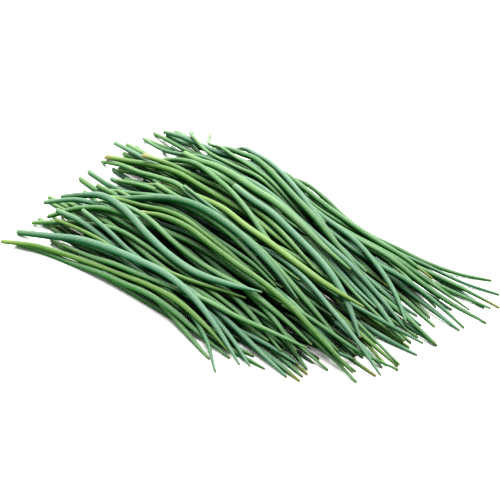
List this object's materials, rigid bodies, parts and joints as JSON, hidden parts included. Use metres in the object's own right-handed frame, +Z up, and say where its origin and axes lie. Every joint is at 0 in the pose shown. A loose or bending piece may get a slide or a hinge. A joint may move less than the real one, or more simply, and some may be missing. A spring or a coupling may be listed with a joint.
{
  "type": "chive bunch",
  "caption": "Loose heap of fresh cut chives lying on a surface, cut ends together at one end and pointed tips at the other.",
  "frame": {"origin": "on the surface that the heap lies on, under the middle of its box", "axes": "+X along the heap from the cut ends to the tips, +Y across it towards the back edge as the picture shows it, +Z up"},
  "size_m": [0.2458, 0.1546, 0.0331],
  "materials": {
    "blue_green_leaf": "satin leaf with a pale waxy bloom",
    "green_leaf": "satin leaf",
    "lime_leaf": "satin leaf"
  },
  "bodies": {
    "root": {"chives_01": "green_leaf", "chives_02": "green_leaf", "chives_03": "green_leaf", "chives_04": "blue_green_leaf", "chives_05": "green_leaf", "chives_06": "blue_green_leaf", "chives_07": "blue_green_leaf", "chives_08": "green_leaf", "chives_09": "lime_leaf", "chives_10": "green_leaf", "chives_11": "green_leaf", "chives_12": "green_leaf", "chives_13": "green_leaf", "chives_14": "blue_green_leaf", "chives_15": "blue_green_leaf", "chives_16": "blue_green_leaf", "chives_17": "blue_green_leaf", "chives_18": "blue_green_leaf", "chives_19": "green_leaf", "chives_20": "green_leaf", "chives_21": "blue_green_leaf", "chives_22": "blue_green_leaf", "chives_23": "green_leaf", "chives_24": "green_leaf", "chives_25": "blue_green_leaf", "chives_26": "green_leaf", "chives_27": "blue_green_leaf", "chives_28": "blue_green_leaf", "chives_29": "green_leaf", "chives_30": "green_leaf", "chives_31": "green_leaf", "chives_32": "blue_green_leaf", "chives_33": "green_leaf", "chives_34": "green_leaf", "chives_35": "blue_green_leaf", "chives_36": "blue_green_leaf", "chives_37": "green_leaf", "chives_38": "green_leaf", "chives_39": "blue_green_leaf", "chives_40": "green_leaf", "chives_41": "green_leaf", "chives_42": "blue_green_leaf", "chives_43": "lime_leaf", "chives_44": "green_leaf", "chives_45": "blue_green_leaf", "chives_46": "lime_leaf", "chives_47": "green_leaf", "chives_48": "blue_green_leaf", "chives_49": "lime_leaf", "chives_50": "green_leaf", "chives_51": "lime_leaf", "chives_52": "green_leaf", "chives_53": "blue_green_leaf", "chives_54": "blue_green_leaf", "chives_55": "lime_leaf", "chives_56": "lime_leaf", "chives_57": "lime_leaf"}
  },
  "joints": []
}
